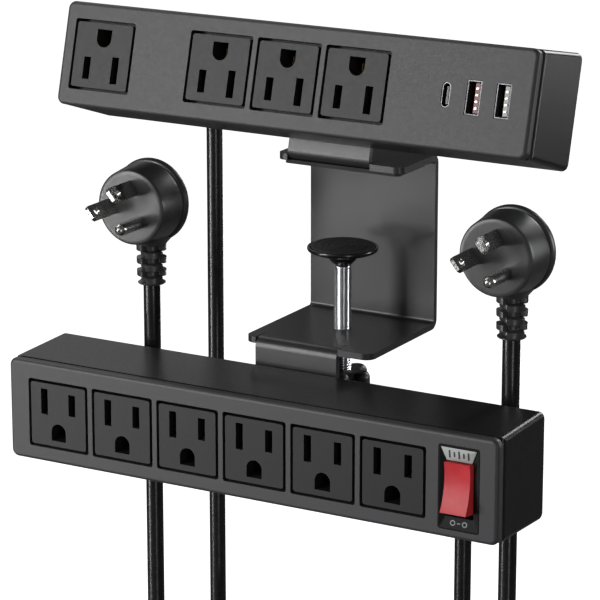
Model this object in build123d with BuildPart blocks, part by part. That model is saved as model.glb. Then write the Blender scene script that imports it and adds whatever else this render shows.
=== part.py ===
"""Desk power strip: two outlet bars on one clamp bracket, with their cords and plugs.

Frame: millimetres, +Z up, -Y towards the user, +X to the user's right.
Origin: the point where the clamp screw's axis meets the top of the desk, under the jaw pad.
"""
from math import cos, pi, radians, sin, tan
import os

from build123d import *

os.makedirs("parts", exist_ok=True)

# ---------------------------------------------------------------- driving dimensions
bars_x = -4.5  # both bars are centred here, beside the clamp screw
bar_depth = 39.0
bar_height = 40.0  # front panel of either bar
panel_thickness = 3.2
panel_edge = 1.5
panel_corner = 3.0
seam = 1.3  # groove between the front panel and the body behind it
wall = 2.0
cap_thickness = 3.0
boss_radius = 4.0  # screw bosses inside the back of a body
boss_height = 9.0
cap_edge = 2.0  # rounding around an end cap's outer face
rear_corner = 3.0
panel_tongue = 2.2  # how far the panel's tongue reaches behind it
fit_gap = 0.2

lower_length = 211.5
lower_face = Plane(origin=(bars_x, -67.5, -94), x_dir=(1, 0, 0), z_dir=(0, -1, 0))
lower_flare = 1.0  # the body is this much taller at the back, above and below
lower_outlets_x = [-83.2 + 29.25 * i for i in range(6)]
lower_outlets_y = -0.5

lean = 15.0  # the upper bar leans back
upper_length = 201.0
upper_face = Plane(
    origin=(bars_x, -34.46, 41.22),
    x_dir=(1, 0, 0),
    z_dir=(0, -cos(radians(lean)), sin(radians(lean))),
)
upper_flare = 2.0
upper_outlets_x = [-82.1, -30.2, -0.95, 28.3]
upper_outlets_y = -0.1

# NEMA 5-15 outlet and plug
blade_spacing = 12.7
ground_offset = 11.9  # ground hole to the line through both slots
tile = 25.0
tile_corner = 1.0
window_gap = 1.15  # between a tile and its window in the panel
slot_width = 3.1
long_slot = 10.3
short_slot = 8.6
ground_width = 6.6
slots_above_centre = 5.05
outlet_flange = (28.6, 32.0, 2.0)
outlet_depth = 18.0

# contacts and bars behind the outlets
leaf_thickness = 0.5
leaf_height = 3.4
leaf_pitch = 0.95  # leaf centre to slot centre
leaf_front = 9.0
bar_front = 20.0
bar_thickness = 0.8
ground_leaf_pitch = 2.5

# USB ports, on the upper bar
usb_c_x = 65.75
usb_a_x = [76.8, 88.6]
usb_y = 0.0
usb_c_size = (9.2, 3.3)
usb_a_size = (5.6, 12.5)
usb_depth = 14.0
usb_shell = 0.35
usb_recess = 0.3
usb_c_tongue_section = (0.75, 6.4)
usb_c_tongue_depth = 1.6  # from the panel's face to a tongue's tip
usb_a_tongue_section = (1.8, 10.8)
usb_a_tongue_depth = 1.2
usb_a_tongue_aside = 0.95  # from the port's middle
usb_board_size = (34.0, 32.0, 1.6)
port_gap = 0.15

# rocker switch, on the lower bar
switch_x = 90.0
switch_y = -0.6
bezel_width = 16.4
bezel_height = 31.8
bezel_gap = 0.2  # around the bezel in the panel
recess_mouth = (15.6, 31.0)
recess_floor = (11.2, 21.0)
recess_depth = 0.8
rocker_drop = 0.7  # the recess floor and the rocker are this far below the bezel's middle
switch_depth = 20.0
switch_back = 2.0
rocker_width = 10.3
rocker_half = 9.3
rocker_rise = 3.35  # how far a level rocker's ends stand in front of the panel
rocker_dish = 1.7  # depth of the rocker's hollow face at its middle
rocker_skirt = 3.4  # its ends reach this far behind the panel's face
rocker_pivot_depth = 6.5
rocker_heel = (3.0, 3.4)  # the rocker's back: past the pivot, and half its height
rocker_throw = 9.0  # either way from level
pin_radius = 1.0
running_gap = 0.05
terminal_size = (0.8, 4.8, 7.0)
terminal_pitch = 8.0

# clamp
sheet = 2.5
bracket_width = 55.2
tab_width = 35.5
tab_x = -4.6
pad_thickness = 1.5
plate_front_upper = -3.6
back_plate_y = 23.5
lower_plate_top = -63.1
lower_bar_back = -28.5
bend_radius = 2.5
plate_corner = 4.0
screw_radius = 3.5
screw_top = -37.4
screw_end = -91.0
knob_top = -79.5
knob_height = 14.0
knob_core_radius = 8.6
knob_lobes = 5
knob_lobe_radius = 4.2
knob_lobes_out = 7.6  # from the screw's axis to a lobe's middle
foot_radius = 13.8
foot_top = -29.9
bowl_radius = 6.4  # the foot's socket under its disc
spigot_radius = 2.5  # the screw's reduced end, which turns in the foot
spigot_length = 4.0
pad_recess = 1.2
foot_rim = 1.1
foot_neck = [(5.5, -35.3), (3.8, -37.25)]  # the socket's outline below the bowl
upper_screw_y = -8.0  # the screws that hold each bar to its tab
lower_screw_y = 2.0
bar_screws_x = [-11, 11]  # from the tab's middle
bar_screw_radius = 1.9
bar_screw_hole_gap = 0.3
bar_screw_length = 8.0  # past the bracket's sheet
screw_head_radius = 3.8
screw_head_height = 2.4
driver_cross = (4.4, 0.9, 1.3)
nut_radius = 6.0  # the clinch nut in the lower plate
nut_collar = 1.5
jaw_pad_size = (50.0, 23.0)
jaw_pad_y = 9.5

# cords and plugs
cord_radius = 3.4
cord_pitch = 2 * cord_radius
relief_length = 22.0
relief_outside = 15.0
relief_root_radius = 6.5
relief_tip_radius = 4.4
plug_face_y = -37.5
plug_cord_y = -22.5
plug_drop = 33.5  # plug centre to the end of its boot
# The plug's half outline, as distance behind its face and radius.
plug_front = [(0, 0), (0, 14.2), (0.6, 14.75), (12.4, 16.0), (12.9, 15.4), (13.6, 15.5)]
plug_rim = [(13.6, 15.5), (14.1, 16.5), (16.2, 16.75)]
plug_back = [(16.2, 16.75), (19.6, 13.4), (21.2, 6.0)]
plug_middle = (21.4, 0)
boot_end_radius = 5.0
boot_top_radius = 6.1
boot_overlap = 14.0  # plug centre to the boot's top
pin_length = 15.9
pin_root = 8.0  # of each pin inside the plug
pin_edge = 0.5
blade_section = (1.5, 6.35)
ground_pin_radius = 2.4
plug_turn = 40.0  # the pins' pattern, anticlockwise seen from the front
coil_outer_upper = 42.4
coil_inner_upper = 35.6
coil_outer_lower = 40.0
coil_inner_lower = 33.2
coil_lanes = 4  # turns side by side in each layer
tie_width = 12.0
tie_thickness = 1.2
keeper_width = 12.4  # cord keepers on the back of the lower bar
keeper_height = 9.0
keeper_mouth = 5.4

# The routes' points are chosen by hand: strain relief tip, bends, coil entry; coil exit, plug boot.
upper_drop_route = [
    (-90.2, 18.8, 31.1),
    (-90.2, 34.3, 26.9),
    (-90.2, 46.7, 16.6),
    (-90.2, 53.5, 1.9),
    (-90.2, 53.5, -249.0),
]
upper_rise_route = [(-72.9, plug_cord_y, -249.0), (-72.9, plug_cord_y, -49.8)]
lower_drop_route = [
    (36.6, -13.5, -94.0),
    (36.6, 6.5, -94.0),
    (36.6, 23.8, -104.0),
    (36.6, 33.8, -121.3),
    (36.6, 33.8, -222.0),
]
lower_rise_route = [(83.7, plug_cord_y, -222.0), (83.7, plug_cord_y, -49.5)]


def write(piece, name):
    piece.part.label = name
    export_step(piece.part, f"parts/{name}.step")


def on_face(face, x, y, depth=0.0):
    """The plane of a bar's front, moved to a point on it and back into the body."""
    return face.offset(-depth).shift_origin(face.offset(-depth).from_local_coords((x, y, 0)))


def side_plane(face, x):
    """A plane across a bar at x: its own x runs back into the body and its own y runs up."""
    return Plane(origin=face.from_local_coords((x, 0, 0)), x_dir=-face.z_dir, z_dir=face.x_dir)


# ---------------------------------------------------------------- bodies of the two bars
def body_outline(flare, inset, back):
    """Side outline of a bar behind its seam, taller at the back."""
    front = panel_thickness + seam
    low, high = bar_height / 2 - inset, bar_height / 2 + flare - inset
    return [(front, -low), (back, -high), (back, high), (front, low)]


def keeper(x, z):
    """A snap-in cord keeper for the back of the lower bar, open to the rear."""
    past_cord = 2.5
    reach = plug_cord_y + past_cord - lower_bar_back
    with BuildPart() as clip:
        with BuildSketch(Plane.XY.offset(z)):
            with Locations((x, lower_bar_back + reach / 2)):
                Rectangle(keeper_width, reach)
            with Locations((x, plug_cord_y)):
                Circle(cord_radius + 0.1, mode=Mode.SUBTRACT)
            with Locations((x, plug_cord_y + cord_radius)):
                Rectangle(keeper_mouth, 2 * cord_radius, mode=Mode.SUBTRACT)
        extrude(amount=keeper_height)
    return clip.part


def make_housing(name, face, length, flare, screw_y, relief_at, keepers):
    inner = length - 2 * cap_thickness
    clips = [keeper(x, z) for x, z in keepers]
    with BuildPart() as housing:
        with BuildSketch(side_plane(face, -inner / 2)) as section:
            Polygon(*body_outline(flare, 0, bar_depth), align=None)
            fillet(section.vertices().sort_by(Axis.X)[-2:], rear_corner)
        extrude(amount=inner)
        with BuildSketch(side_plane(face, -inner / 2)):
            Polygon(*body_outline(flare, wall, bar_depth - wall), align=None)
        extrude(amount=inner, mode=Mode.SUBTRACT)
        for x in bar_screws_x:
            with BuildSketch(on_face(face, tab_x - bars_x + x, screw_y, bar_depth - wall)):
                Circle(boss_radius)
            extrude(amount=boss_height)
            with BuildSketch(on_face(face, tab_x - bars_x + x, screw_y, bar_depth)):
                Circle(bar_screw_radius)
            extrude(amount=boss_height + 1, mode=Mode.SUBTRACT)
        with BuildSketch(on_face(face, relief_at[0], relief_at[1], bar_depth)):
            Circle(relief_root_radius - 1.5)
        extrude(amount=wall, mode=Mode.SUBTRACT)
        add(clips)
    write(housing, name)


def make_end_cap(name, face, length, flare, side):
    inner = length / 2 - cap_thickness
    with BuildPart() as end_cap:
        with BuildSketch(side_plane(face, side * inner)) as section:
            Polygon(*body_outline(flare, 0, bar_depth), align=None)
            fillet(section.vertices().sort_by(Axis.X)[-2:], rear_corner)
        extrude(amount=side * cap_thickness)
        outer = end_cap.faces().sort_by_distance(face.from_local_coords((side * length, 0, -20)))[0]
        fillet(outer.edges(), cap_edge)
        with BuildSketch(side_plane(face, side * inner)):
            with Locations((22, 0)):
                Rectangle(26, 2 * (bar_height / 2 - wall) - 2 * fit_gap)
                Rectangle(23, 2 * (bar_height / 2 - wall) - 3.4, mode=Mode.SUBTRACT)
        extrude(amount=-side * 2.5)
    write(end_cap, name)


def outlet_windows(xs, y):
    with Locations([(x, y) for x in xs]):
        RectangleRounded(tile + 2 * window_gap, tile + 2 * window_gap, tile_corner)


def make_front_panel(name, face, length, outlets_x, outlets_y, usb=False, switch=False):
    with BuildPart() as front_panel:
        with BuildSketch(face):
            RectangleRounded(length, bar_height, panel_corner)
        extrude(amount=-panel_thickness)
        fillet(front_panel.faces().sort_by_distance(face.offset(50).origin)[0].edges(), panel_edge)
        with BuildSketch(face.offset(-panel_thickness)):
            tongue_length = length - 2 * cap_thickness - 2 * fit_gap
            Rectangle(tongue_length, bar_height - 2 * wall - 2 * fit_gap)
        extrude(amount=-panel_tongue)
        with BuildSketch(face):
            outlet_windows(outlets_x, outlets_y)
            if usb:
                with Locations((usb_c_x, usb_y)):
                    SlotOverall(usb_c_size[0] + 2 * port_gap, usb_c_size[1] + 2 * port_gap, rotation=90)
                with Locations([(x, usb_y) for x in usb_a_x]):
                    Rectangle(usb_a_size[0] + 2 * port_gap, usb_a_size[1] + 2 * port_gap)
            if switch:
                with Locations((switch_x, switch_y)):
                    RectangleRounded(bezel_width + 2 * bezel_gap, bezel_height + 2 * bezel_gap, 1)
        extrude(amount=-(panel_thickness + panel_tongue), mode=Mode.SUBTRACT)
    write(front_panel, name)


# ---------------------------------------------------------------- outlets and their contacts
def make_outlet(name, face, x, y, up):
    """One outlet insert. up is 1 with the ground hole below the slots, -1 with it above."""
    spot = on_face(face, x, y)
    slots_y = up * slots_above_centre
    ground_y = slots_y - up * ground_offset
    behind_panel = panel_thickness + panel_tongue
    with BuildPart() as outlet:
        with BuildSketch(spot):
            RectangleRounded(tile, tile, tile_corner)
        extrude(amount=-behind_panel)
        with BuildSketch(spot.offset(-behind_panel)):
            Rectangle(outlet_flange[0], outlet_flange[1])
        extrude(amount=-outlet_flange[2])
        with BuildSketch(spot.offset(-behind_panel - outlet_flange[2])):
            Rectangle(tile, tile)
        extrude(amount=-(outlet_depth - behind_panel - outlet_flange[2]))
        with BuildSketch(spot):
            with Locations((-up * blade_spacing / 2, slots_y)):
                Rectangle(slot_width, long_slot)
            with Locations((up * blade_spacing / 2, slots_y)):
                Rectangle(slot_width, short_slot)
            with Locations((0, ground_y + up * 0.2)):
                Circle(ground_width / 2)
            with Locations((0, ground_y - up * 1.6)):
                Rectangle(ground_width, 3.6)
        extrude(amount=-outlet_depth, mode=Mode.SUBTRACT)
    write(outlet, name)


def make_bus(name, face, outlets, y, pairs, leaf_y, pitch):
    """A flat bar along the back of the outlets with one pair of contact leaves in each hole."""
    first, last = min(outlets) - 9, max(outlets) + 9
    with BuildPart() as bus:
        with BuildSketch(on_face(face, (first + last) / 2, y + leaf_y, bar_front)):
            Rectangle(last - first, leaf_height)
        extrude(amount=-bar_thickness)
        for x in outlets:
            for side in (-1, 1):
                spot = on_face(face, x + pairs + side * pitch, y + leaf_y, leaf_front)
                with BuildSketch(spot):
                    Rectangle(leaf_thickness, leaf_height)
                extrude(amount=-(bar_front - leaf_front))
    write(bus, name)


def make_bar(prefix, face, length, flare, outlets_x, outlets_y, up, screw_y, relief_at, keepers):
    make_housing(f"{prefix}_housing", face, length, flare, screw_y, relief_at, keepers)
    make_relief(f"{prefix}_strain_relief", face, *relief_at)
    make_end_cap(f"{prefix}_end_cap_left", face, length, flare, -1)
    make_end_cap(f"{prefix}_end_cap_right", face, length, flare, 1)
    is_upper = prefix == "upper"
    make_front_panel(
        f"{prefix}_front_panel", face, length, outlets_x, outlets_y, usb=is_upper, switch=not is_upper
    )
    for number, x in enumerate(outlets_x, 1):
        make_outlet(f"{prefix}_outlet_{number}", face, x, outlets_y, up)
    slots_y = outlets_y + up * slots_above_centre
    half = up * blade_spacing / 2
    make_bus(f"{prefix}_neutral_bus", face, outlets_x, slots_y, -half, 2.4, leaf_pitch)
    make_bus(f"{prefix}_line_bus", face, outlets_x, slots_y, half, -2.0, leaf_pitch)
    ground_y = slots_y - up * ground_offset
    make_bus(f"{prefix}_ground_bus", face, outlets_x, ground_y, 0, 0, ground_leaf_pitch)


# ---------------------------------------------------------------- USB ports
def make_usb():
    with BuildPart() as usb_c_socket:
        with BuildSketch(on_face(upper_face, usb_c_x, usb_y, usb_recess)):
            SlotOverall(*usb_c_size, rotation=90)
            inside = [side - 2 * usb_shell for side in usb_c_size]
            SlotOverall(*inside, rotation=90, mode=Mode.SUBTRACT)
        extrude(amount=-usb_depth)
    write(usb_c_socket, "usb_c_socket")

    with BuildPart() as usb_c_tongue:
        with BuildSketch(on_face(upper_face, usb_c_x, usb_y, usb_c_tongue_depth)):
            Rectangle(*usb_c_tongue_section)
        extrude(amount=-(usb_depth + usb_recess - usb_c_tongue_depth))
    write(usb_c_tongue, "usb_c_tongue")

    for number, x in enumerate(usb_a_x, 1):
        with BuildPart() as usb_a_socket:
            with BuildSketch(on_face(upper_face, x, usb_y, usb_recess)):
                Rectangle(*usb_a_size)
                Rectangle(usb_a_size[0] - 2 * usb_shell, usb_a_size[1] - 2 * usb_shell, mode=Mode.SUBTRACT)
            extrude(amount=-usb_depth)
        write(usb_a_socket, f"usb_a_socket_{number}")
        with BuildPart() as usb_a_tongue:
            with BuildSketch(on_face(upper_face, x + usb_a_tongue_aside, usb_y, usb_a_tongue_depth)):
                Rectangle(*usb_a_tongue_section)
            extrude(amount=-(usb_depth + usb_recess - usb_a_tongue_depth))
        write(usb_a_tongue, f"usb_a_tongue_{number}")

    with BuildPart() as usb_board:
        with BuildSketch(on_face(upper_face, (usb_c_x + usb_a_x[1]) / 2, usb_y, usb_depth + usb_recess)):
            Rectangle(*usb_board_size[:2])
        extrude(amount=-usb_board_size[2])
    write(usb_board, "usb_board")


# ---------------------------------------------------------------- rocker switch
def make_switch():
    spot = on_face(lower_face, switch_x, switch_y)
    side = side_plane(lower_face, switch_x)
    middle = switch_y - rocker_drop
    floor_spot = on_face(lower_face, switch_x, middle, recess_depth)
    pivot = (rocker_pivot_depth, middle)
    with BuildPart() as switch_bezel:
        with BuildSketch(spot):
            RectangleRounded(bezel_width, bezel_height, 0.8)
        extrude(amount=-switch_depth)
        with BuildSketch(spot):
            RectangleRounded(recess_mouth[0], recess_mouth[1], 0.4)
        with BuildSketch(floor_spot):
            RectangleRounded(recess_floor[0], recess_floor[1], 0.4)
        loft(mode=Mode.SUBTRACT)
        with BuildSketch(floor_spot):
            Rectangle(recess_floor[0], recess_floor[1])
        extrude(amount=-(switch_depth - recess_depth - switch_back), mode=Mode.SUBTRACT)
        with BuildSketch(side.offset(-bezel_width / 2 + 0.5)):
            with Locations(pivot):
                Circle(pin_radius)
        extrude(amount=bezel_width - 1, mode=Mode.SUBTRACT)
    write(switch_bezel, "switch_bezel")

    with BuildPart() as rocker_pivot_pin:
        with BuildSketch(side.offset(-bezel_width / 2 + 0.5)):
            with Locations(pivot):
                Circle(pin_radius)
        extrude(amount=bezel_width - 1)
    write(rocker_pivot_pin, "rocker_pivot_pin")

    pivot_axis = Axis(side.from_local_coords((*pivot, 0)), side.z_dir)
    with BuildPart() as switch_rocker:
        with BuildSketch(side.offset(-rocker_width / 2)):
            with BuildLine():
                top = (-rocker_rise, middle + rocker_half)
                foot = (-rocker_rise, middle - rocker_half)
                heel = rocker_pivot_depth + rocker_heel[0]
                ThreePointArc(top, (rocker_dish - rocker_rise, middle), foot)
                Polyline(
                    foot,
                    (rocker_skirt, middle - rocker_half),
                    (heel, middle - rocker_heel[1]),
                    (heel, middle + rocker_heel[1]),
                    (rocker_skirt, middle + rocker_half),
                    top,
                )
            make_face()
            with Locations(pivot):
                Circle(pin_radius + running_gap, mode=Mode.SUBTRACT)
        extrude(amount=rocker_width)
    switch_rocker.part = switch_rocker.part.rotate(pivot_axis, -rocker_throw)
    write(switch_rocker, "switch_rocker")

    with BuildPart() as switch_terminals:
        with BuildSketch(spot.offset(-switch_depth)):
            with GridLocations(0, terminal_pitch, 1, 3):
                Rectangle(*terminal_size[:2])
        extrude(amount=-terminal_size[2])
    write(switch_terminals, "switch_terminals")


# ---------------------------------------------------------------- clamp
def bent_strip(points, width, x):
    """A strip of sheet bent along the given line."""
    with BuildPart() as strip:
        with BuildLine() as path:
            FilletPolyline(*points, radius=bend_radius)
        with BuildSketch(Plane(origin=path.line @ 0, x_dir=(1, 0, 0), z_dir=path.line % 0)):
            with Locations((x, 0)):
                Rectangle(width, sheet)
        sweep(path=path.line)
    return strip.part


def plate_plan(front, notch_depth):
    """A plate seen from above, with rounded front corners and a notch where the tab bends away."""
    back = back_plate_y - 4
    with Locations((0, (front + back) / 2)):
        RectangleRounded(bracket_width, back - front, plate_corner)
    with Locations((tab_x, front + notch_depth / 2)):
        Rectangle(tab_width + 0.6, notch_depth, mode=Mode.SUBTRACT)


def make_clamp():
    half = sheet / 2
    top_mid = pad_thickness + half
    low_mid = lower_plate_top - half
    tab_mid = upper_face.offset(-bar_depth - half)
    tab_top = tab_mid.from_local_coords((0, 8, 0))
    climb = (top_mid - tab_top.Z) / cos(radians(lean))
    tab_foot_y = tab_top.Y + climb * sin(radians(lean))
    back_mid = back_plate_y + half
    tab_y = lower_bar_back + half
    back = bent_strip(
        [(0, 10, top_mid), (0, back_mid, top_mid), (0, back_mid, low_mid), (0, 10, low_mid)],
        bracket_width,
        0,
    )
    upper_tab = bent_strip(
        [(0, 6, top_mid), (0, tab_foot_y, top_mid), (0, tab_top.Y, tab_top.Z)], tab_width, tab_x
    )
    lower_tab = bent_strip(
        [(0, -15, low_mid), (0, tab_y, low_mid), (0, tab_y, -106)], tab_width, tab_x
    )
    with BuildPart() as clamp_bracket:
        add([back, upper_tab, lower_tab])
        with BuildSketch(Plane.XY.offset(pad_thickness)):
            plate_plan(plate_front_upper, 7)
        extrude(amount=sheet)
        with BuildSketch(Plane.XY.offset(lower_plate_top - sheet)):
            plate_plan(lower_bar_back + 0.6, 7)
        extrude(amount=sheet)
        with BuildSketch(Plane.XY.offset(lower_plate_top)):
            Circle(nut_radius)
        extrude(amount=-sheet, mode=Mode.SUBTRACT)
        for face, screw_y in ((upper_face, upper_screw_y), (lower_face, lower_screw_y)):
            for x in bar_screws_x:
                with BuildSketch(on_face(face, tab_x - bars_x + x, screw_y, bar_depth)):
                    Circle(bar_screw_radius + bar_screw_hole_gap)
                extrude(amount=-sheet, mode=Mode.SUBTRACT)
    write(clamp_bracket, "clamp_bracket")

    with BuildPart() as jaw_pad:
        with BuildSketch():
            with Locations((0, jaw_pad_y)):
                RectangleRounded(*jaw_pad_size, 2)
        extrude(amount=pad_thickness)
    write(jaw_pad, "jaw_pad")

    with BuildPart() as clinch_nut:
        with BuildSketch(Plane.XY.offset(lower_plate_top)):
            Circle(nut_radius)
            Circle(screw_radius + running_gap, mode=Mode.SUBTRACT)
        extrude(amount=-sheet - nut_collar)
    write(clinch_nut, "clinch_nut")

    with BuildPart() as bracket_screws:
        for face, screw_y in ((upper_face, upper_screw_y), (lower_face, lower_screw_y)):
            for x in bar_screws_x:
                head = on_face(face, tab_x - bars_x + x, screw_y, bar_depth + sheet)
                with BuildSketch(head):
                    Circle(screw_head_radius)
                extrude(amount=-screw_head_height)
                with BuildSketch(head):
                    Circle(bar_screw_radius)
                extrude(amount=sheet + bar_screw_length)
                with BuildSketch(head.offset(-screw_head_height)):
                    Rectangle(driver_cross[0], driver_cross[1])
                    Rectangle(driver_cross[1], driver_cross[0])
                extrude(amount=driver_cross[2], mode=Mode.SUBTRACT)
    write(bracket_screws, "bracket_screws")


def make_foot():
    """The clamp's moving foot: a pressed disc with a rubber pad, and the socket on the screw."""
    with BuildPart() as pressure_disc:
        with BuildSketch(Plane.XZ):
            with BuildLine():
                Polyline(
                    (0, foot_top - pad_recess),
                    (foot_radius - foot_rim, foot_top - pad_recess),
                    (foot_radius - foot_rim, foot_top - 0.5),
                    (foot_radius, foot_top - 0.5),
                    (foot_radius, foot_top - 1.8),
                    (foot_radius - 1.2, foot_top - 2.6),
                    (bowl_radius, foot_top - 2.8),
                )
                ThreePointArc((bowl_radius, foot_top - 2.8), *foot_neck)
                Polyline(
                    foot_neck[-1],
                    (spigot_radius + running_gap, foot_neck[-1][1]),
                    (spigot_radius + running_gap, screw_top + spigot_length + 0.2),
                    (0, screw_top + spigot_length + 0.2),
                    (0, foot_top - pad_recess),
                )
            make_face()
        revolve(axis=Axis.Z)
    write(pressure_disc, "pressure_disc")

    with BuildPart() as pressure_pad:
        with BuildSketch(Plane.XY.offset(foot_top)):
            Circle(foot_radius - foot_rim - fit_gap)
        extrude(amount=-pad_recess)
    write(pressure_pad, "pressure_pad")

    with BuildPart() as clamp_screw:
        with BuildSketch(Plane.XY.offset(screw_top)):
            Circle(screw_radius)
        extrude(amount=screw_end - screw_top)
        with BuildSketch(Plane.XY.offset(screw_top)):
            Circle(spigot_radius)
        extrude(amount=spigot_length)
    write(clamp_screw, "clamp_screw")

    with BuildPart() as screw_knob:
        with BuildSketch(Plane.XY.offset(knob_top)):
            Circle(knob_core_radius)
            with PolarLocations(knob_lobes_out, knob_lobes):
                Circle(knob_lobe_radius)
        extrude(amount=-knob_height)
        edge_groups = screw_knob.edges().group_by(Axis.Z)
        fillet(edge_groups[-1], 2.4)
        fillet(screw_knob.edges().group_by(Axis.Z)[0], 1.0)
        with BuildSketch(Plane.XY.offset(knob_top)):
            Circle(screw_radius)
        extrude(amount=screw_end - knob_top, mode=Mode.SUBTRACT)
    write(screw_knob, "screw_knob")


# ---------------------------------------------------------------- cords, coils and plugs
def route_radii(route):
    """The largest tangent arcs that the runs allow."""
    points = [Vector(*p) for p in route]
    radii = []
    for before, corner, after in zip(points, points[1:], points[2:]):
        turn = (corner - before).get_angle(after - corner)
        shorter = min((corner - before).length, (after - corner).length)
        radii.append(0.45 * shorter / tan(radians(turn) / 2))
    return radii


def make_cord(name, route):
    """A plain tube of the cord's own diameter along its route."""
    radii = route_radii(route)
    with BuildPart() as cord:
        with BuildLine() as path:
            if radii:
                FilletPolyline(*route, radius=radii)
            else:
                Line(*route)
        with BuildSketch(Plane(origin=path.line @ 0, z_dir=path.line % 0)):
            Circle(cord_radius)
        sweep(path=path.line)
    length = path.wires()[0].length
    expected = length * pi * cord_radius**2
    bends = ", ".join(f"{r:.1f}" for r in radii) or "none"
    print(f"{name}: {length:.1f} mm, bend radii {bends}, volume {cord.part.volume / expected:.4f}")
    write(cord, name)


def coil_plane(drop, rise, outer, inner, side):
    """The middle plane of a hanging coil, whose outermost lane on one side meets both straight runs."""
    going = Vector(*drop) - Vector(*rise)
    across = going.normalized()
    normal = Vector(across.Y, -across.X, 0)
    centre = Vector(*rise) + across * inner + normal * side * (coil_lanes - 1) / 2 * cord_pitch
    if abs(going.length - outer - inner) > 0.5:
        print(f"coil legs are {going.length:.2f} apart, and their radii add up to {outer + inner:.2f}")
    return Plane(origin=centre, x_dir=across, z_dir=normal)


def make_coil(name, plane, outer, inner):
    half_width = coil_lanes / 2 * cord_pitch
    with BuildPart() as coil:
        with BuildSketch(plane.offset(-half_width)):
            Circle(outer + cord_radius)
            Circle(inner - cord_radius, mode=Mode.SUBTRACT)
        extrude(amount=2 * half_width)
        fillet(coil.edges(), 2.6)
    write(coil, f"{name}_coil")

    middle = (outer + inner) / 2
    bottom = plane.origin - Vector(0, 0, middle)
    thick = outer - inner + cord_pitch
    with BuildPart() as tie:
        with BuildSketch(Plane(origin=bottom, x_dir=plane.z_dir, z_dir=plane.x_dir)):
            around = 2 * tie_thickness
            RectangleRounded(2 * half_width + around, thick + around, 3.2)
            RectangleRounded(2 * half_width, thick, 2.4, mode=Mode.SUBTRACT)
        extrude(amount=tie_width / 2, both=True)
    write(tie, f"{name}_coil_tie")


def make_relief(name, face, x, y):
    """A tapered strain relief through the back of a bar, with its flange inside."""
    inside = relief_length - relief_outside
    with BuildPart() as relief:
        with BuildSketch(on_face(face, x, y, bar_depth)):
            Circle(relief_root_radius)
        with BuildSketch(on_face(face, x, y, bar_depth + relief_outside)):
            Circle(relief_tip_radius)
        loft()
        with BuildSketch(on_face(face, x, y, bar_depth)):
            Circle(relief_root_radius - 1.5)
        extrude(amount=wall)
        with BuildSketch(on_face(face, x, y, bar_depth - wall)):
            Circle(relief_root_radius)
        extrude(amount=inside - wall)
    write(relief, name)


def make_plug(name, x, z):
    """A round flat plug with its prongs towards -Y and its cord leaving downwards."""
    face = Plane(origin=(x, plug_face_y, z), x_dir=(1, 0, 0), z_dir=(0, -1, 0))
    turn = radians(plug_turn)
    turned = Plane(origin=face.origin, x_dir=(cos(turn), 0, sin(turn)), z_dir=(0, -1, 0))
    side = Plane(origin=face.origin, x_dir=(0, 1, 0), z_dir=(1, 0, 0))
    with BuildPart() as plug_body:
        with BuildSketch(side):
            with BuildLine():
                Polyline(*plug_front)
                Polyline(*plug_rim)
                ThreePointArc(*plug_back)
                Polyline(plug_back[-1], plug_middle, plug_front[0])
            make_face()
        revolve(axis=Axis(face.origin, (0, 1, 0)))
        boot_bottom = z - plug_drop
        with BuildSketch(Plane.XY.offset(boot_bottom)):
            with Locations((x, plug_cord_y)):
                Circle(boot_end_radius)
        with BuildSketch(Plane.XY.offset(z - boot_overlap)):
            with Locations((x, plug_cord_y)):
                Circle(boot_top_radius)
        loft()
        with BuildSketch(turned):
            prong_sections()
        extrude(amount=-pin_root, mode=Mode.SUBTRACT)
    write(plug_body, f"{name}_body")

    with BuildPart() as plug_pins:
        with BuildSketch(turned.offset(-pin_root)):
            prong_sections()
        extrude(amount=pin_root + pin_length)
        fillet(plug_pins.edges().group_by(Axis.Y)[0], pin_edge)
    write(plug_pins, f"{name}_pins")


def prong_sections():
    """Two flat blades and one round ground pin, in the current sketch."""
    with Locations((-blade_spacing / 2, slots_above_centre), (blade_spacing / 2, slots_above_centre)):
        Rectangle(*blade_section)
    with Locations((0, slots_above_centre - ground_offset)):
        Circle(ground_pin_radius)


# ---------------------------------------------------------------- the whole object
upper_relief_at = (upper_drop_route[0][0] - bars_x, 4)
lower_relief_at = (lower_drop_route[0][0] - bars_x, 0)
keeper_spots = [(x, z) for x in (upper_rise_route[0][0], lower_rise_route[0][0]) for z in (-108, -88)]

make_bar(
    "upper",
    upper_face,
    upper_length,
    upper_flare,
    upper_outlets_x,
    upper_outlets_y,
    -1,
    upper_screw_y,
    upper_relief_at,
    [],
)
make_bar(
    "lower",
    lower_face,
    lower_length,
    lower_flare,
    lower_outlets_x,
    lower_outlets_y,
    1,
    lower_screw_y,
    lower_relief_at,
    keeper_spots,
)
make_usb()
make_switch()
make_clamp()
make_foot()

make_cord("upper_cord_drop", upper_drop_route)
make_cord("upper_cord_rise", upper_rise_route)
make_cord("lower_cord_drop", lower_drop_route)
make_cord("lower_cord_rise", lower_rise_route)

upper_coil = coil_plane(
    upper_drop_route[-1], upper_rise_route[0], coil_outer_upper, coil_inner_upper, 1
)
make_coil("upper", upper_coil, coil_outer_upper, coil_inner_upper)
lower_coil = coil_plane(
    lower_drop_route[-1], lower_rise_route[0], coil_outer_lower, coil_inner_lower, -1
)
make_coil("lower", lower_coil, coil_outer_lower, coil_inner_lower)

make_plug("upper_plug", upper_rise_route[0][0], upper_rise_route[1][2] + plug_drop)
make_plug("lower_plug", lower_rise_route[0][0], lower_rise_route[1][2] + plug_drop)
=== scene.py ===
"""Looks of a desk power strip: two outlet bars on a screw clamp, each with its own corded plug."""

import math

import bmesh
import bpy
from mathutils import Matrix, Vector


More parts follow.
